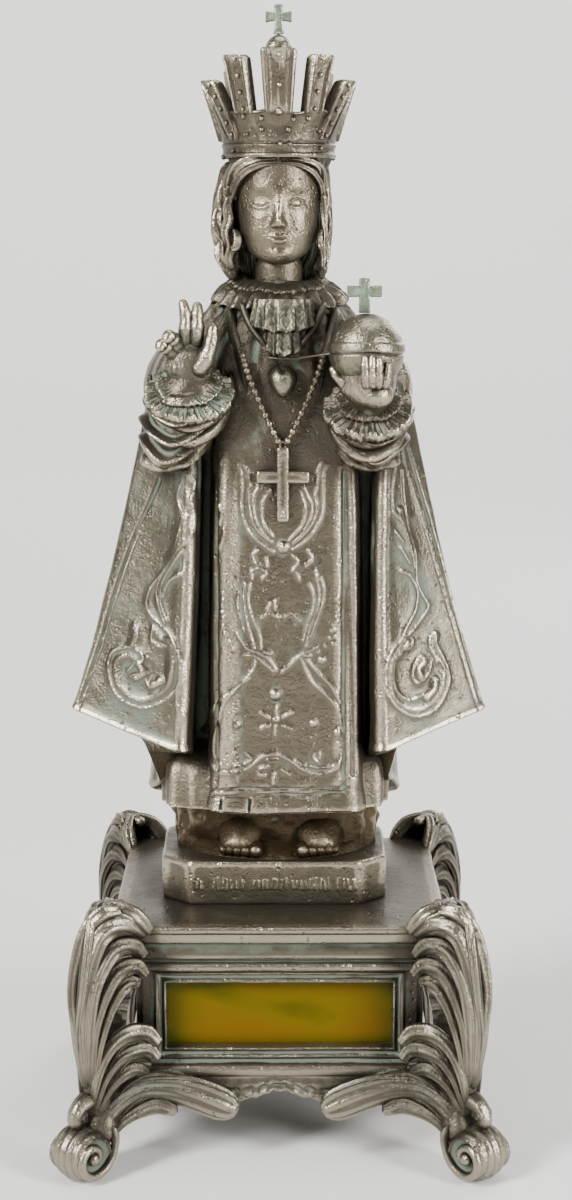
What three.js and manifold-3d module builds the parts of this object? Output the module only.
// Devotional statuette: a crowned child king with an orb, in robe and open cloak, cast in white metal,
// on a square stand with four scroll legs and a yellow panel in each side.
// Millimetres, +Z up, front towards -Y. The origin is on the ground under the middle of the stand.
import * as THREE from "three";
import { mergeVertices } from "three/addons/utils/BufferGeometryUtils.js";
import Module from "manifold-3d";

const wasm = await Module();
wasm.setup();

const TURN = Math.PI * 2;
const QUARTER = Math.PI / 2;
const GAP = 0.3; // clearance where one casting is let into or set on another

// Windows and the panels behind them
const WINDOW_WIDTH = 63;
const WINDOW_HEIGHT = 18.6;
const WINDOW_SILL = 32.6;
const FRAME_WIDTH = 3.6; // raised moulding round each window
const FRAME_PROUD = 1.1;
const PANEL_THICKNESS = 3;
const PANEL_LAP = 1.6; // how far a panel reaches past its window on every side

// Stand: a hollow square box with mouldings, open underneath. Its sides follow the width of the windows.
const STAND_HEIGHT = 69.2;
const DIE_MARGIN = 4.2; // plain wall between a window's frame and the corner
const DIE_HALF = WINDOW_WIDTH / 2 + FRAME_WIDTH + DIE_MARGIN; // half the side of the plain box between mouldings
const STAND_HALF = DIE_HALF + 7.3; // half the side of the top plate
const WALL = 2.4;
const PLATE_THICKNESS = 4.6;
const COVE_HEIGHT = 6.8;
const TORUS_HEIGHT = 3.4;
const TORUS_HALF = DIE_HALF + 3.1;
const RAIL_BOTTOM = 24.4; // underside of the box above the ground
const RAIL_HEIGHT = 3.8;
const RAIL_HALF = DIE_HALF + 3.7;

// Legs: the spine stands out from each corner of the top plate, along the diagonal
const FOOT_RADIUS = 7.4;
const LEG_CORNER = DIE_HALF + 5.7; // the legs' places are measured from this corner, along X and along Y
const FOOT_OUT = 9.6; // middle of the scroll beyond that corner, both ways
const FOOT_HALF_WIDTH = 7;
const SIMPLIFIED_WITHIN = 0.15; // how far a solid's skin may move where needless points are dropped
const FOOT_SIDES = 10; // the lowest side is the flat that it stands on
const LEAF_THICKNESS = 1.8;

// Statue; its own forms are sized in hundredths of its height
const STATUE_HEIGHT = 250.8; // from the stand's top to the top of the crown's cross
const PART = STATUE_HEIGHT / 100;
const STATUE_X = -0.2; // the figure stands a little left of the stand's middle
const STATUE_Y = -2;
const PLINTH_WIDTH = 25.7 * PART;
const PLINTH_DEPTH = 18.4 * PART;
const PLINTH_HEIGHT = 5 * PART;
const PLINTH_CHAMFER = 3.2 * PART;
const PLINTH_SHIFT = -0.56 * PART; // its middle lies left of the figure's axis
const SCOOP_DEPTH = 0.9 * PART; // hollow round the feet

// Crown, orb and hands
const CROWN_RADIUS = 6.2 * PART; // outside of the band
const CROWN_WALL = 0.6 * PART;
const BAND_HEIGHT = 1.9 * PART;
const RIM_HEIGHT = 5.2 * PART; // the wall's edge between the points
const ARCH_HEIGHT = 11.6 * PART;
const DOME_RADIUS = 1.5 * PART;
const CROSS_THICKNESS = 0.6 * PART;
const ORB_RADIUS = 4.1 * PART;
const WRIST_RADIUS = 1.35 * PART;
const WRIST_DEPTH = 2 * PART;

const metal = (color, roughness = 0.42) =>
  new THREE.MeshStandardMaterial({ color, roughness, metalness: 0.9 });
const castMetal = () => metal(0x8d857c);
const greenedMetal = () => metal(0x8a9486, 0.55);
const panelStone = () =>
  new THREE.MeshStandardMaterial({ color: 0x9a7a12, roughness: 0.25, metalness: 0 });

const mix = (a, b, t) => a + (b - a) * t;
const point = (x, y, z) => new THREE.Vector3(x, y, z);

// A place on the statue, from the middle of the plinth's underside
const share = (x, y, z) => point(x, y, z).multiplyScalar(PART);

// Closed mesh over rings of points, each end closed to its own middle.
function loft(rings) {
  const count = rings[0].length;
  const vertices = rings.flat();
  const faces = [];
  for (let r = 0; r + 1 < rings.length; r++)
    for (let i = 0; i < count; i++) {
      const a = r * count + i;
      const b = r * count + ((i + 1) % count);
      faces.push(a, b, a + count, b, b + count, a + count);
    }
  for (const [r, turned] of [[0, true], [rings.length - 1, false]]) {
    const middle = vertices.length;
    vertices.push(rings[r].reduce((s, p) => s.clone().add(p), point(0, 0, 0)).divideScalar(count));
    for (let i = 0; i < count; i++) {
      const a = r * count + i;
      const b = r * count + ((i + 1) % count);
      faces.push(...(turned ? [b, a, middle] : [a, b, middle]));
    }
  }
  return new THREE.BufferGeometry().setFromPoints(vertices).setIndex(faces);
}

// Ring of points round a centre, in the plane of two directions; shape(angle) scales the radius.
function ring(centre, across, along, sides, shape = () => 1) {
  return Array.from({ length: sides }, (_, i) => {
    const angle = (i / sides) * TURN;
    return centre
      .clone()
      .addScaledVector(across, Math.cos(angle) * shape(angle))
      .addScaledVector(along, Math.sin(angle) * shape(angle));
  });
}

// Level ring: half width, reach to the front and reach to the back, from the statue's own axis.
function levelRing(height, half, front, back, sides, offset = 0, shape = () => 1) {
  return Array.from({ length: sides }, (_, i) => {
    const angle = (i / sides) * TURN;
    const reach = Math.sin(angle) < 0 ? front : back;
    return share(
      offset + half * Math.cos(angle) * shape(angle),
      reach * Math.sin(angle) * shape(angle),
      height,
    );
  });
}

// Round-ended stroke along a smooth line, with a radius for each of its points.
function stroke(points, radii, sides = 6, steps = points.length * 2, flat = 1) {
  const curve = new THREE.CatmullRomCurve3(points);
  const frames = curve.computeFrenetFrames(steps);
  const rings = [];
  for (let i = 0; i <= steps; i++) {
    const t = i / steps;
    const place = t * (radii.length - 1);
    const k = Math.min(Math.floor(place), radii.length - 2);
    const radius = mix(radii[k], radii[k + 1], place - k);
    rings.push(
      ring(
        curve.getPoint(t),
        frames.normals[i].clone().multiplyScalar(radius),
        frames.binormals[i].clone().multiplyScalar(radius * flat),
        sides,
      ),
    );
  }
  return loft(rings);
}

// Fluted leaf between two flow lines: ridges run from root to tip, and each ends in a round tongue.
// Its back is plain.
function leaf(first, last, ridges, height, place, steps = 3, notch = 0.14) {
  const from = new THREE.CatmullRomCurve3(first.map((p) => point(...p)));
  const to = new THREE.CatmullRomCurve3(last.map((p) => point(...p)));
  const columns = ridges * 2;
  const crest = (c) => c % 2;
  const spot = (s, c) => {
    const t = (s / steps) * (1 - notch * (1 - crest(c)));
    return from.getPoint(t).lerp(to.getPoint(t), c / columns);
  };
  const lifted = (s, c, height) => {
    const down = spot(Math.min(s + 0.5, steps), c).sub(spot(Math.max(s - 0.5, 0), c));
    const across = spot(s, Math.min(c + 1, columns)).sub(spot(s, Math.max(c - 1, 0)));
    return spot(s, c).addScaledVector(down.cross(across).normalize(), height);
  };
  const rings = [];
  for (let s = 0; s <= steps; s++) {
    const front = Array.from({ length: columns + 1 }, (_, c) => lifted(s, c, height * crest(c)));
    rings.push([...front, lifted(s, columns, -LEAF_THICKNESS), lifted(s, 0, -LEAF_THICKNESS)].map(place));
  }
  return loft(rings);
}

// Flat cross with square ends, standing on the foot of its shaft.
function cross({ height, span, bar }, thickness, armHeight = 0.62) {
  const arm = height * armHeight;
  const outline = new THREE.Shape();
  outline.moveTo(-bar / 2, 0);
  outline.lineTo(bar / 2, 0);
  for (const side of [1, -1]) {
    const turns = [[bar / 2, arm - bar / 2], [span / 2, arm - bar / 2], [span / 2, arm + bar / 2], [bar / 2, arm + bar / 2], [bar / 2, height]];
    for (const [x, y] of side > 0 ? turns : turns.toReversed()) outline.lineTo(side * x, y);
  }
  const made = new THREE.ExtrudeGeometry(outline, { depth: thickness, bevelEnabled: false });
  return made.translate(0, 0, -thickness / 2).rotateX(QUARTER);
}

// Small rounded lump, stretched along the three axes
function bead(centre, radius, stretch = point(1, 1, 1)) {
  const made = new THREE.OctahedronGeometry(radius, 0);
  return made.scale(stretch.x, stretch.y, stretch.z).translate(centre.x, centre.y, centre.z);
}

function ball(centre, radius, sides = 10) {
  const made = new THREE.SphereGeometry(radius, sides, Math.round(sides * 0.6)).rotateX(QUARTER);
  return made.translate(centre.x, centre.y, centre.z);
}

// Faces point outwards when the signed volume is positive; a mirrored or left-handed form is turned round.
function solidOf(geometry) {
  const bare = new THREE.BufferGeometry();
  bare.setAttribute("position", (geometry.index ? geometry.toNonIndexed() : geometry).getAttribute("position"));
  const merged = mergeVertices(bare, 1e-4);
  const vertices = merged.attributes.position.array;
  const triangles = new Uint32Array(merged.index.array);
  const corner = (i) => point(...vertices.slice(i * 3, i * 3 + 3));
  let volume = 0;
  for (let i = 0; i < triangles.length; i += 3)
    volume += corner(triangles[i]).dot(corner(triangles[i + 1]).cross(corner(triangles[i + 2])));
  if (volume < 0)
    for (let i = 0; i < triangles.length; i += 3)
      [triangles[i + 1], triangles[i + 2]] = [triangles[i + 2], triangles[i + 1]];
  return new wasm.Manifold(new wasm.Mesh({ numProp: 3, vertProperties: vertices, triVerts: triangles }));
}

const joined = (geometries) => geometries.map(solidOf).reduce((all, one) => all.add(one));

function meshOf(solid, name, material) {
  const { vertProperties, triVerts } = solid.simplify(SIMPLIFIED_WITHIN).getMesh();
  const geometry = new THREE.BufferGeometry();
  geometry.setAttribute("position", new THREE.BufferAttribute(vertProperties, 3));
  geometry.setIndex(new THREE.BufferAttribute(triVerts, 1));
  const mesh = new THREE.Mesh(geometry, material);
  mesh.name = name;
  return mesh;
}

const block = (width, depth, height, x, y, z) =>
  new THREE.BoxGeometry(width, depth, height).translate(x, y, z);

// Stand box

const windowMiddle = WINDOW_SILL + WINDOW_HEIGHT / 2;
const innerHalf = DIE_HALF - WALL;
const coveTop = STAND_HEIGHT - PLATE_THICKNESS;
const torusTop = coveTop - COVE_HEIGHT;
const torusBottom = torusTop - TORUS_HEIGHT;

const onFace = (quarter) => (geometry) => geometry.rotateZ(quarter * QUARTER);

function standBox() {
  const profile = [
    [RAIL_BOTTOM, RAIL_HALF],
    [RAIL_BOTTOM + RAIL_HEIGHT, RAIL_HALF],
    [WINDOW_SILL - FRAME_WIDTH, DIE_HALF],
    [torusBottom, DIE_HALF],
    [torusBottom + 0.8, TORUS_HALF],
    [torusTop, TORUS_HALF],
    [torusTop + 0.4, TORUS_HALF - 0.8],
    [mix(torusTop, coveTop, 0.55), TORUS_HALF],
    [coveTop, STAND_HALF - 0.8],
    [coveTop + 0.2, STAND_HALF],
    [STAND_HEIGHT, STAND_HALF],
  ];
  const corners = [[-1, -1], [1, -1], [1, 1], [-1, 1]];
  return loft(profile.map(([z, half]) => corners.map(([x, y]) => point(x * half, y * half, z))));
}

function windowFrame(quarter) {
  const width = WINDOW_WIDTH + 2 * FRAME_WIDTH;
  const height = WINDOW_HEIGHT + FRAME_WIDTH;
  return onFace(quarter)(block(width, 2 * FRAME_PROUD, height, 0, -DIE_HALF, windowMiddle));
}

function windowOpening(quarter) {
  const depth = 2 * (WALL + FRAME_PROUD) + 2;
  return onFace(quarter)(block(WINDOW_WIDTH, depth, WINDOW_HEIGHT, 0, -DIE_HALF, windowMiddle));
}

// Places a point given from a leg's corner: along the face to its middle, outwards, and up.
const fromCorner = (quarter, mirrored) => (p) => {
  const x = p.x - LEG_CORNER;
  const y = -LEG_CORNER - p.y;
  const placed = mirrored ? point(y, x, p.z) : point(x, y, p.z);
  return placed.applyAxisAngle(point(0, 0, 1), quarter * QUARTER);
};

// Flow lines of each leaf from a corner: [along the face, outwards, up], first ridge and last ridge
const LEAVES = [
  {
    first: [[-8, 9.6, 34], [-7.4, 11.4, 53], [-3.6, 9, 67], [7.6, 0.8, 66]],
    last: [[-5.4, 10, 30], [-3.4, 10.4, 39], [0.2, 7.6, 49.6], [7.4, 1.6, 54]],
    ridges: 2,
    height: 1.5,
  },
  {
    first: [[-6, 9.6, 21], [-2.8, 9.4, 33.4], [3.4, 5.4, 39.6], [11.6, 0, 35.4]],
    last: [[-4.4, 9.8, 19], [-0.8, 7.8, 25.4], [3.4, 4.6, 28.8], [9.4, 0.4, 27.2]],
    ridges: 2,
    height: 1.5,
  },
  {
    first: [[-4.6, 9, 15.6], [3.4, 3.6, 24], [18.6, -1, 23.6], [34.4, -1.4, 19.8]],
    last: [[-2.8, 8.8, 12.6], [5.4, 2.6, 20.4], [18, -0.8, 19], [32, -1.2, 13.4]],
    ridges: 2,
    height: 1.2,
  },
];

// Slender tongues, written the same way: one hangs below the low leaf, one curls over the top plate.
const TONGUES = [
  { at: [[-1.8, 7.6, 10.6], [4, 3.8, 15.6], [10.4, 0.6, 17.2], [16.6, -0.2, 15.2]], radii: [2.6, 2.4, 2, 1.3] },
  { at: [[-2, 4, 72.8], [3, 3.4, 73.6], [7, 2.4, 71.2], [11, 1.6, 67]], radii: [3, 2.6, 2, 1] },
];

function legLeaves(quarter) {
  return [false, true].flatMap((mirrored) => {
    const place = fromCorner(quarter, mirrored);
    const leaves = LEAVES.map(({ first, last, ridges, height }) => leaf(first, last, ridges, height, place));
    const tongues = TONGUES.map(({ at, radii }) => stroke(at.map((p) => place(point(...p))), radii, 4, 3));
    return [...leaves, ...tongues];
  });
}

// The spine runs in the diagonal plane; its places are [beyond the corner, up].
const SPINE = [[-2.4, 76.6], [2.4, 73.6], [5.4, 64], [6.8, 52], [6.8, 38], [5.4, 26], [4.8, 15]];

function legSpine(quarter) {
  const place = fromCorner(quarter, false);
  const points = SPINE.map(([out, up]) => place(point(-out, out, up)));
  return stroke(points, [1.2, 3.6, 4.4, 4.6, 4.4, 4, 4.8], 6, 5);
}

// Small curl over the scroll, and the neck that ties the scroll to the spine: [beyond its middle, above it]
const CURL = [
  { at: [[-1.1, 19.5], [1.1, 17.8], [3, 16.6], [3.8, 14], [3.2, 10.6], [1.6, 5]], radii: [3.4, 3.2, 3.1, 2.7, 2.2, 3] },
  { at: [[-4.4, 10], [-3.3, 4], [-1.6, 0]], radii: [4.6, 4.8, 4.6] },
];

function legFoot(quarter) {
  const place = fromCorner(quarter, false);
  const middle = place(point(-FOOT_OUT, FOOT_OUT, FOOT_RADIUS * Math.cos(Math.PI / FOOT_SIDES)));
  const corner = place(point(0, 0, 0));
  const axle = place(point(1, 1, 0)).sub(corner).normalize();
  const outward = place(point(-1, 1, 0)).sub(corner).normalize();
  const profile = [[-1, 0.8], [-0.35, 1], [0.35, 1], [1, 0.8]];
  const scroll = loft(
    profile.map(([w, r]) =>
      ring(
        middle.clone().addScaledVector(axle, w * FOOT_HALF_WIDTH),
        outward.clone().multiplyScalar(r * FOOT_RADIUS),
        point(0, 0, r * FOOT_RADIUS),
        FOOT_SIDES,
      ),
    ),
  );
  const runs = CURL.map(({ at, radii }) => {
    const points = at.map(([out, up]) => place(point(-FOOT_OUT - out, FOOT_OUT + out, FOOT_RADIUS + up)));
    return stroke(points, radii, 5, at.length - 1);
  });
  return [scroll, ...runs];
}

// Scalloped plate under the middle of each face
function apron(quarter) {
  const half = DIE_HALF - 3.3;
  const top = RAIL_BOTTOM + 1;
  const edge = [[half, 18.4], [20, 17], [11, 17.4], [6.5, 18.4], [3.2, 19.6], [0, 20.8]];
  const outline = new THREE.Shape();
  outline.moveTo(-half, top);
  outline.lineTo(half, top);
  for (const [x, z] of edge) outline.lineTo(x, z);
  for (const [x, z] of edge.slice(0, -1).toReversed()) outline.lineTo(-x, z);
  const plate = new THREE.ExtrudeGeometry(outline, { depth: 2, bevelEnabled: false });
  return onFace(quarter)(plate.rotateX(QUARTER).translate(0, 2.4 - RAIL_HALF, 0));
}

function stand() {
  const quarters = [0, 1, 2, 3];
  const cavityHeight = STAND_HEIGHT - WALL - RAIL_BOTTOM + 2;
  const cavity = block(2 * innerHalf, 2 * innerHalf, cavityHeight, 0, 0, RAIL_BOTTOM - 2 + cavityHeight / 2);
  const shell = joined([standBox(), ...quarters.map(windowFrame)])
    .subtract(joined([cavity, ...quarters.map(windowOpening)]));
  const legs = joined(quarters.flatMap((q) => [...legLeaves(q), legSpine(q), ...legFoot(q), apron(q)]));
  const insideBox = solidOf(block(2 * innerHalf, 2 * innerHalf, STAND_HEIGHT, 0, 0, STAND_HEIGHT / 2 - WALL));
  const panes = joined(quarters.map(windowOpening));
  return shell.add(legs.subtract(insideBox).subtract(panes));
}

function panel(quarter) {
  const width = WINDOW_WIDTH + 2 * PANEL_LAP;
  const height = WINDOW_HEIGHT + 2 * PANEL_LAP;
  const y = -(innerHalf - GAP - PANEL_THICKNESS / 2);
  return onFace(quarter)(block(width, PANEL_THICKNESS, height, 0, y, windowMiddle));
}

// Statue's plinth, with cut corners and a hollow round the feet

function plinth() {
  const x = PLINTH_WIDTH / 2;
  const y = PLINTH_DEPTH / 2;
  const c = PLINTH_CHAMFER;
  const outline = new THREE.Shape();
  [[c - x, -y], [x - c, -y], [x, c - y], [x, y - c], [x - c, y], [c - x, y], [-x, y - c], [-x, c - y]]
    .forEach(([px, py], i) => (i ? outline.lineTo(px, py) : outline.moveTo(px, py)));
  const body = new THREE.ExtrudeGeometry(outline, { depth: PLINTH_HEIGHT, bevelEnabled: false });
  const scoop = new THREE.SphereGeometry(1, 12, 6).rotateX(QUARTER)
    .scale(x * 0.86, y * 0.8, 6 + SCOOP_DEPTH).translate(0, -2, PLINTH_HEIGHT + 6);
  return solidOf(body).subtract(solidOf(scoop)).translate(PLINTH_SHIFT, 0, 0);
}

// Feet: a low wedge each, with toes at its front edge
function foot(side) {
  const x = side * 4.5;
  const toes = [-1.5, -0.5, 0.5, 1.4].map((shift, i) =>
    bead(share(x + side * shift, -7.4 + 0.25 * i, 5), PART, point(0.6, 1.2, 0.6)),
  );
  const wedge = stroke([share(x, -2, 7), share(x, -4.5, 6.2), share(x, -7, 5)], [2.6, 2.3, 1.3].map((r) => r * PART), 6, 2);
  return [wedge, ...toes];
}

// Robe: front panel between the cloak's edges, and the wider body behind it.
// Each level is [height, half width, reach to the front, reach to the back].
const ROBE_PANEL = [
  [10.4, 11.4, 8.7, 2], [12.5, 11.3, 8.6, 2], [14, 10.4, 8.5, 2], [18.1, 9.4, 8.3, 2],
  [34.3, 8.9, 8, 2], [52, 8.1, 7.5, 2], [62, 6.6, 6.6, 2],
];
const UNDERSKIRT = [[3, 11.6, 5, 7], [11, 12.2, 5.8, 7.4]];
const ROBE_BODY = [[10.6, 12.9, 6.4, 7.6], [14.6, 12.7, 6, 7.6], [17.6, 11, 4.4, 7.6], [24, 10, 3, 7.4], [50, 9, 3, 7]];
const ROBE_OFFSET = 0.45;

function robe() {
  const folds = (height) => (angle) => 1 + 0.018 * Math.cos(angle * 14) * Math.max(0, 1 - height / 60);
  const boxy = (angle) => 1 / Math.pow(Math.abs(Math.cos(angle)) ** 3.2 + Math.abs(Math.sin(angle)) ** 3.2, 1 / 3.2);
  const front = loft(ROBE_PANEL.map(([h, w, f, b]) => levelRing(h, w, f, b, 20, ROBE_OFFSET, (a) => boxy(a) * folds(h)(a))));
  const body = loft(ROBE_BODY.map(([h, w, f, b]) => levelRing(h, w, f, b, 14, -0.3, folds(h))));
  const under = loft(UNDERSKIRT.map(([h, w, f, b]) => levelRing(h, w, f, b, 14, -0.3)));
  return [front, body, under];
}

// Cloak: one closed outline in plan, carried up from the hem to the arms. Each station names a place on the
// outline as [x, y, height] at the hem and at the arms, and orbSide the hem's place on the orb's side where it
// differs. The wings stand free in front of the solid back.
const CLOAK_HALF = [
  { hem: [0, -1, 12], top: [0, -1, 60] },
  { hem: [9.2, -2, 15], top: [8.2, -1.6, 60] },
  { hem: [9.9, -7.6, 17.7], top: [8.4, -5, 60] },
  { hem: [10.7, -9.2, 17.6], top: [9.2, -6.6, 60] },
  { hem: [12, -9, 17.9], top: [10.4, -6.6, 60] },
  { hem: [17.5, -6.8, 19.6], top: [12, -4.6, 59] },
  { hem: [23.4, -3.6, 21.4], top: [14.4, -2.4, 58] },
  { hem: [23.9, -2.6, 21.6], top: [14.7, -1.6, 58] },
  { hem: [15.8, -5.2, 19.2], orbSide: [13.8, -5.2, 18.6], top: [12.6, -1.2, 58] },
  { hem: [13.4, -4.2, 12.4], orbSide: [12.4, -4.2, 13], top: [12.4, 0, 58] },
  { hem: [15.3, -1.2, 11.8], orbSide: [13.2, -1.2, 12.6], top: [13, 2.2, 60] },
  { hem: [13.6, 5.2, 9.6], top: [11.6, 6.4, 61] },
  { hem: [7.6, 9.2, 8.2], top: [6.4, 8.2, 62] },
  { hem: [2.6, 10.4, 8], top: [2.2, 8.6, 62] },
];
const CLOAK_LEVELS = [0, 0.3, 0.7, 1];

function cloak() {
  const half = (side, t) =>
    CLOAK_HALF.map(({ hem, orbSide, top }) => {
      const flare = 1 - 0.03 * Math.sin(t * Math.PI);
      const low = side > 0 && orbSide ? orbSide : hem;
      return share(side * mix(low[0], top[0], t) * flare, mix(low[1], top[1], t), mix(low[2], top[2], t));
    });
  return loft(CLOAK_LEVELS.map((t) => [...half(1, t), ...half(-1, t).slice(1).toReversed()]));
}

// Shoulders under the cloak and cape: levels as for the robe.
const SHOULDERS = [
  [50, 12.4, 2, 7.2], [55, 13.8, 5, 8.7], [59, 13.2, 6.6, 9.6], [62, 11.4, 7, 9.8],
  [65, 9, 6.4, 8.8], [67.6, 7, 4.8, 6.2], [70, 3.6, 3, 4],
];
const shoulders = () => loft(SHOULDERS.map(([h, w, f, b]) => levelRing(h, w, f, b, 14)));

// Upper arm, bent at the elbow under the cloak
function upperArm(side) {
  const path = [[7.6, 0, 64], [10.6, -0.4, 59], [11.2, -3.4, 55]].map(([x, y, h]) => share(side * x, y, h));
  return stroke(path, [3.4, 4.2, 4].map((r) => r * PART), 8, 3);
}

// Arms: the blessing arm and the one with the orb, each with its cuff and the wrist that is let into it
const ORB = { x: 9.5, y: -10.5, height: 62.5 };
const PALM_DROP = 3.4; // middle of the palm below the orb's
const BLESSING = { x: -9.8, y: -8.6, cuff: 58.2, wrist: 59.2, hang: 2.8 };
const HOLDING = { x: 9.8, y: -9.2, cuff: ORB.height - 6, wrist: ORB.height - 6.1, hang: 0.4 };

// Sleeve: a deep cup hanging from the raised forearm; its lowest point swings outwards by the arm's hang.
// Levels are [height, share of the hang, y, half width, half depth].
const SLEEVE = [
  [49.2, 1, -6.6, 1.7, 1.5], [50.8, 0.75, -6.3, 3.2, 3.2], [53, 0.45, -5.6, 4.1, 4.9], [56, 0.2, -5.4, 4.6, 5.4],
  [58, 0, -6.2, 4.3, 4.2], [59, 0, -7.4, 3, 2.6],
];
const SLEEVE_BOTTOM = SLEEVE[0][0];
const SLEEVE_TOP = SLEEVE.at(-1)[0];

function sleeve({ x, cuff, hang }) {
  const side = Math.sign(x);
  const reach = (cuff + 1.4 - SLEEVE_BOTTOM) / (SLEEVE_TOP - SLEEVE_BOTTOM);
  const hanging = loft(
    SLEEVE.map(([h, swing, y, half, deep]) =>
      ring(
        share(x + side * swing * hang, y, SLEEVE_BOTTOM + (h - SLEEVE_BOTTOM) * reach),
        share(half, 0, 0),
        share(0, deep, 0),
        10,
      ),
    ),
  );
  // The lace cuff is a pleated collar round the wrist that faces forwards and up.
  const tiers = [[-2.4, 3.6], [-0.6, 4.6], [0.4, 3.6], [1, 1.8]];
  const lace = loft(
    tiers.map(([rise, radius]) =>
      ring(
        share(x, -8.2 - rise * 0.45, cuff + rise),
        share(radius, 0, 0),
        share(0, radius * 0.64, radius * 0.56),
        14,
        (angle) => 1 + 0.05 * Math.cos(angle * 7),
      ),
    ),
  );
  // One deep fold hangs in a crescent under the forearm.
  const crescent = [-1, -0.5, 0, 0.5, 1].map((s) => share(x + s * 4.2, -9.2 + 2.2 * s * s, cuff - 2.9 - 2.4 * (1 - s * s)));
  const fold = stroke(crescent, [0.2, 0.7, 0.9, 0.7, 0.2].map((w) => w * PART), 4, 4);
  return [hanging, lace, fold];
}

// Ruff round the neck: a pleated ring, lower at the front
const RUFF = { height: 68.9, radius: 7, pleats: 10 };

function ruff() {
  const sides = RUFF.pleats * 2;
  const sections = Array.from({ length: sides }, (_, i) => {
    const angle = (i / sides) * TURN;
    const wave = i % 2 ? 1.06 : 0.96;
    const lift = 0.9 * Math.sin(angle);
    return [[wave, -1], [wave + 0.04, 0.2], [0.72, 1.2], [0.5, -0.4]].map(([r, h]) =>
      share(Math.cos(angle) * r * RUFF.radius, Math.sin(angle) * r * RUFF.radius * 0.82, RUFF.height + h + lift),
    );
  });
  const count = sections[0].length;
  const faces = [];
  for (let i = 0; i < sides; i++)
    for (let k = 0; k < count; k++) {
      const a = i * count + k;
      const b = i * count + ((k + 1) % count);
      const c = ((i + 1) % sides) * count + k;
      const d = ((i + 1) % sides) * count + ((k + 1) % count);
      faces.push(a, c, b, b, c, d);
    }
  return new THREE.BufferGeometry().setFromPoints(sections.flat()).setIndex(faces);
}

// Jabot: three lace tiers that narrow downwards. Each is [half width, top height, drop].
function jabot() {
  return [[4.3, 67.4, 3.2], [3.5, 64.6, 2.6], [2.4, 62.4, 2]].map(([half, height, drop], k) =>
    loft(
      [[0.9, 0, 0], [1.08, 1, -0.9]].map(([widen, down, forward]) =>
        Array.from({ length: 10 }, (_, i) => {
          const angle = (i / 10) * TURN;
          const wave = 1 + 0.12 * Math.cos(angle * 5);
          return share(
            ROBE_OFFSET + half * widen * Math.cos(angle) * wave,
            -5.6 - 0.25 * k + forward + 1.7 * Math.sin(angle) * wave,
            height - drop * down,
          );
        }),
      ).toReversed(),
    ),
  );
}

// Rosary: two strands that meet above the pendant cross, each swelling into its beads
const STRAND = [[4.9, -5.2, 66.4], [4.3, -6.5, 62.6], [2.8, -7.2, 57.6], [0.4, -7.5, 52.6]];
const BEADS = 6;

function rosary() {
  const radii = Array.from({ length: 2 * BEADS + 1 }, (_, i) => (i % 2 ? 0.52 : 0.26) * PART);
  return [-1, 1].map((side) =>
    stroke(STRAND.map(([x, y, h]) => share(ROBE_OFFSET + side * x, y, h)), radii, 4, 2 * BEADS),
  );
}

const PENDANT = { height: 8.2 * PART, span: 5.8 * PART, bar: 1.35 * PART };

function pendants() {
  const foot = share(ROBE_OFFSET, -8, 43.7);
  const pendant = cross(PENDANT, 1.6 * PART, 0.6).translate(foot.x, foot.y, foot.z);
  const heart = bead(share(ROBE_OFFSET, -7.4, 60), 1.7 * PART, point(0.95, 0.8, 1.1));
  return [pendant, heart];
}

// Head: level rings from the neck to the skull, with the nose raised at the front
const HEAD = [
  [67, 3.3, 3, 3.2], [71.6, 3.1, 2.8, 3.4], [72.6, 3.1, 4.7, 3.6], [74.4, 4.1, 5.4, 4.4], [76.6, 4.6, 5.5, 5],
  [79, 4.8, 5.2, 5.4], [80.4, 4.9, 5.6, 5.5], [83, 4.9, 5.3, 5.5], [87, 3.4, 3.4, 4],
];

function head() {
  const nose = [share(0, -5.1, 79.6), share(0, -5.7, 78), share(0, -6, 76.8), share(0, -5.3, 76.2)];
  return [
    loft(HEAD.map(([h, w, f, b]) => levelRing(h, w, f, b, 12))),
    stroke(nose, [0.3, 0.5, 0.75, 0.4].map((r) => r * PART), 4, 3),
  ];
}

// Hair: a cap under the crown and wavy locks that frame the face and fall to the ruff
const LOCKS = [
  { at: [[0.3, -5.1, 83.3], [3.1, -4.8, 82.9], [5.3, -3.6, 80.7], [5.9, -2.6, 77.6]], radii: [0.5, 0.8, 0.9, 0.9] },
  { at: [[4.6, -3.2, 83.2], [6.2, -2.3, 80], [6.4, -1.9, 77], [6.1, -1.7, 74], [5.4, -1.9, 71]], radii: [0.8, 1.1, 1.2, 1.2, 0.7] },
  { at: [[5, 0.6, 83], [5.6, 1.6, 79], [5.6, 1.8, 75], [4.8, 1.6, 70.4]], radii: [1.4, 1.8, 1.9, 1.2] },
];
const HAIR_SIDES = [{ side: -1, fullness: 1 }, { side: 1, fullness: 0.84 }];

function hair() {
  const levels = [[69.4, 3.6, 0, 5], [74, 4.8, 0, 6.6], [80, 5.4, 1, 7], [84, 5.8, 5.6, 6.6], [86, 5.4, 5.2, 6]];
  const back = loft(levels.map(([h, w, f, b]) => levelRing(h, w, f, b, 14, 0, (angle) => 1 + 0.03 * Math.cos(angle * 7))));
  const locks = HAIR_SIDES.flatMap(({ side, fullness }) =>
    LOCKS.map(({ at, radii }) =>
      stroke(at.map(([x, y, h]) => share(side * x * fullness, y, h)), radii.map((r) => r * fullness * PART), 5, 4),
    ),
  );
  return [back, ...locks];
}

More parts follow.
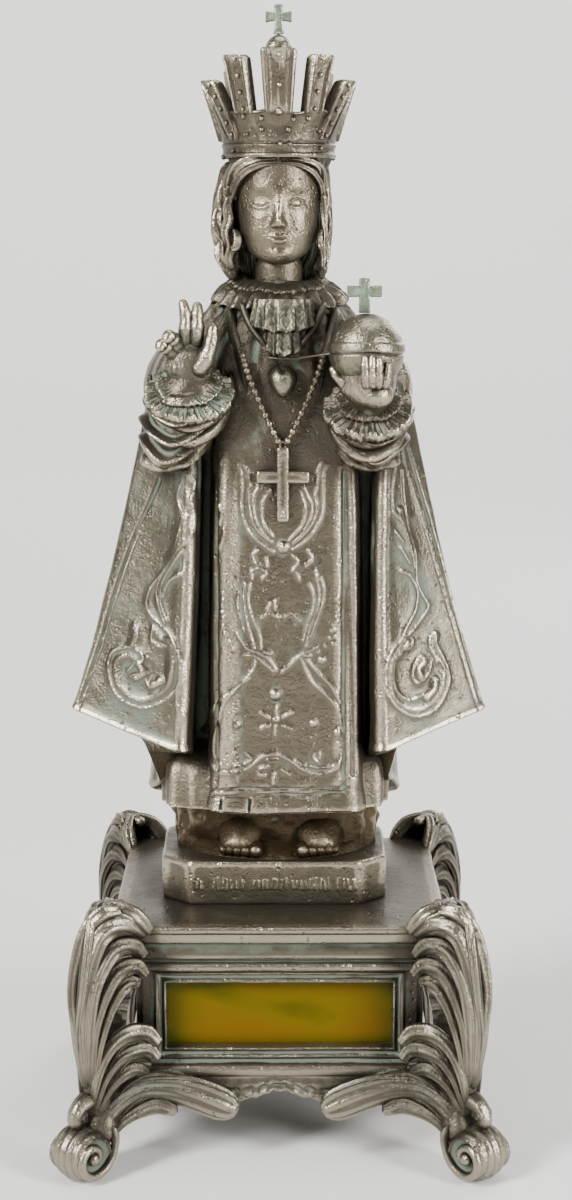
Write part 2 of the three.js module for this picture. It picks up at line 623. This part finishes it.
// Blessing hand: two fingers raised, two folded, the thumb apart. Paths are shares from the wrist's middle.
const FINGERS = [
  { at: [[-0.4, -0.2, 3.8], [-0.7, -0.4, 6.2], [-0.9, -0.2, 8], [-1.1, 0.2, 9.3]], radii: [1, 0.95, 0.85, 0.6] },
  { at: [[0.9, -0.1, 3.6], [0.9, -0.2, 6.2], [0.8, 0, 8], [0.6, 0.3, 9]], radii: [1, 0.95, 0.85, 0.6] },
  { at: [[-1.1, -0.4, 3.8], [-1.7, -1, 5.4], [-2.4, -1.7, 5.3], [-2.9, -1.8, 4.8]], radii: [0.95, 0.9, 0.8, 0.6] },
  { at: [[-1.7, -0.2, 2.8], [-2.3, -0.9, 4.1], [-2.9, -1.6, 3.9], [-3.2, -1.7, 3.4]], radii: [0.9, 0.8, 0.7, 0.5] },
  { at: [[0.8, -0.6, 1.6], [1.8, -1, 3.2], [2.6, -1, 4.6], [2.8, -0.8, 6.8]], radii: [1.1, 1.05, 0.9, 0.65] },
];

// Wrist, or the socket that takes it; above is how far it stands over the wrist's middle
function wristPin(arm, radius, depth, above) {
  const top = share(arm.x, arm.y, arm.wrist);
  const made = new THREE.CylinderGeometry(radius, radius, depth + above, 10).rotateX(QUARTER);
  return made.translate(top.x, top.y, top.z + (above - depth) / 2);
}
const wrist = (arm) => wristPin(arm, WRIST_RADIUS, WRIST_DEPTH, 1.2 * PART);
const socket = (arm) => wristPin(arm, WRIST_RADIUS + GAP, WRIST_DEPTH + GAP, 2 * PART);

// grow thickens the hand, to clear the cuff round it
function blessingHand(grow = 0) {
  const origin = share(BLESSING.x, BLESSING.y, BLESSING.wrist);
  const from = ([x, y, h]) => share(x, y, h).add(origin);
  const inParts = (radii) => radii.map((r) => r * PART + grow);
  const heel = [[0, 0, 0], [-0.3, 0, 1.8], [-0.6, 0, 3.6], [-0.6, 0, 4.6]].map(from);
  const fingers = FINGERS.map(({ at, radii }) => stroke(at.map(from), inParts(radii), 4, 3));
  return joined([stroke(heel, inParts([1.2, 1.9, 2.1, 1.5]), 8, 3, 0.62), wrist(BLESSING), ...fingers]);
}

// Hand under the orb: the palm below it and the fingers up its front
function orbHand(grow = 0) {
  const middle = share(ORB.x, ORB.y, ORB.height);
  const onOrb = (turn, rise, lift) =>
    point(Math.sin(turn) * Math.cos(rise), -Math.cos(turn) * Math.cos(rise), Math.sin(rise))
      .multiplyScalar(ORB_RADIUS + lift * PART)
      .add(middle);
  const palm = ball(share(ORB.x + 0.4, ORB.y, ORB.height - PALM_DROP), 2.4 * PART + grow, 8);
  const fingers = [-0.15, 0.2, 0.55, 0.9].map((turn) =>
    stroke([0.1, -0.35, -0.8, -1.15].map((rise) => onOrb(turn, rise, 0.15)), [0.5, 0.75, 0.85, 0.85].map((r) => r * PART + grow), 4, 3),
  );
  const thumb = stroke([0, -0.4, -0.9].map((rise) => onOrb(-0.9, rise, 0)), [0.4, 0.64, 0.8].map((r) => r * PART + grow), 4, 2);
  return joined([ball(middle, ORB_RADIUS + grow, 12), palm, ...fingers, thumb, wrist(HOLDING)]);
}

function orbCross() {
  const size = { height: 3.8 * PART, span: 3.75 * PART, bar: 1.2 * PART };
  const foot = share(ORB.x - 0.25, ORB.y, ORB.height).add(point(0, 0, ORB_RADIUS + GAP / 3));
  return solidOf(cross(size, CROSS_THICKNESS).translate(foot.x, foot.y, foot.z));
}

// Crown: band, flared wall and ten points. Heights of the points run from the front one round to the back one;
// the front and the back carry the arch, and a small dome stands on its top.
const CROWN_BASE = 83.3;
const POINT_HEIGHTS = [11.5, 10.8, 8.3, 8.6, 10, 11.5];
const POINTS = 2 * POINT_HEIGHTS.length - 2;
const POINT_TURNS = [[0, 0], [35, 30], [69, 50], [106, 98], [143, 140], [180, 180]]; // at the tip and the root, in degrees

function crownWall() {
  const outline = [
    [-CROWN_WALL, 0],
    [0.2 * PART, 0],
    [0.1 * PART, BAND_HEIGHT],
    [1.2 * PART, RIM_HEIGHT],
    [1.2 * PART - CROWN_WALL, RIM_HEIGHT],
    [-CROWN_WALL, BAND_HEIGHT],
    [-CROWN_WALL, 0],
  ];
  return new THREE.LatheGeometry(outline.map(([r, z]) => new THREE.Vector2(CROWN_RADIUS + r, z)), 20).rotateX(QUARTER);
}

// Point of the crown: a tapered blade, narrower at its root, with a rib down each side
function crownPoint(index) {
  const nearest = Math.min(index, POINTS - index);
  const hand = index > POINTS / 2 ? -1 : 1;
  const height = POINT_HEIGHTS[nearest] * PART;
  const broad = [1.3, 1, 1.15, 1, 1, 1.2][nearest];
  const [tip, root] = POINT_TURNS[nearest];
  const low = 2.2 * PART;
  const blade = [[0.7, low, 1.1], [1.5, RIM_HEIGHT, 1.2], [2.5, height, 1.5]].map(([reach, z, half]) => {
    const angle = hand * (root + ((tip - root) * (z - low)) / (height - low)) * (TURN / 360);
    const out = point(Math.sin(angle), -Math.cos(angle), 0);
    const side = point(Math.cos(angle), Math.sin(angle), 0);
    const middle = out.clone().multiplyScalar(CROWN_RADIUS + (reach - 0.3) * PART).setZ(z);
    return [[-1, -0.8], [1, -0.8], [1, 0.4], [0, 0.1], [-1, 0.4]].map(([s, t]) =>
      middle.clone().addScaledVector(side, s * half * broad * PART).addScaledVector(out, t * PART),
    );
  });
  return loft(blade);
}

function crown() {
  const reach = CROWN_RADIUS + 2.1 * PART;
  const rise = [[-reach, 10.9], [-0.7 * reach, 11.5], [0, 11.6], [0.7 * reach, 11.5], [reach, 10.9]];
  const arch = stroke(rise.map(([y, h]) => point(0, y, h * PART)), [0.9 * PART, PART, 0.9 * PART], 6, 4, 0.5);
  const dome = ball(point(0, 0, ARCH_HEIGHT + 0.4 * PART), DOME_RADIUS);
  const points = Array.from({ length: POINTS }, (_, i) => crownPoint(i));
  return joined([crownWall(), ...points, arch, dome]).translate(0, 0, CROWN_BASE * PART);
}

function crownCross() {
  const foot = CROWN_BASE * PART + ARCH_HEIGHT + 0.4 * PART + DOME_RADIUS + GAP / 3;
  const size = { height: STATUE_HEIGHT - foot, span: 2.9 * PART, bar: 0.95 * PART };
  return solidOf(cross(size, CROSS_THICKNESS, 0.58).translate(0, 0, foot));
}

function figure() {
  const casting = joined([
    ...foot(1), ...foot(-1), ...robe(), cloak(), shoulders(), upperArm(1), upperArm(-1), ...sleeve(BLESSING), ...sleeve(HOLDING),
    ruff(), ...jabot(), ...rosary(), ...pendants(), ...head(), ...hair(),
  ]).add(plinth());
  const sockets = joined([BLESSING, HOLDING].map(socket));
  const cylinder = (radius, height, middle) =>
    solidOf(new THREE.CylinderGeometry(radius, radius, height, 27).rotateX(QUARTER).translate(0, 0, middle));
  const height = 20 * PART;
  const base = CROWN_BASE * PART - GAP;
  const crownSeat = cylinder(16 * PART, height, base + height / 2)
    .subtract(cylinder(CROWN_RADIUS - CROWN_WALL - GAP, 3 * height, base));
  const clearance = blessingHand(GAP).add(orbHand(GAP));
  return casting.subtract(sockets).subtract(clearance).subtract(crownSeat);
}

const model = new THREE.Group();
model.add(meshOf(stand(), "stand", castMetal()));
["front", "right", "back", "left"].forEach((side, quarter) =>
  model.add(meshOf(solidOf(panel(quarter)), `panel_${side}`, panelStone())),
);

const statue = new THREE.Group();
statue.position.set(STATUE_X, STATUE_Y, STAND_HEIGHT);
statue.add(
  meshOf(figure(), "figure", castMetal()),
  meshOf(blessingHand(), "blessing_hand", greenedMetal()),
  meshOf(orbHand(), "orb_hand", castMetal()),
  meshOf(orbCross(), "orb_cross", greenedMetal()),
  meshOf(crown(), "crown", castMetal()),
  meshOf(crownCross(), "crown_cross", greenedMetal()),
);
model.add(statue);

export default model;
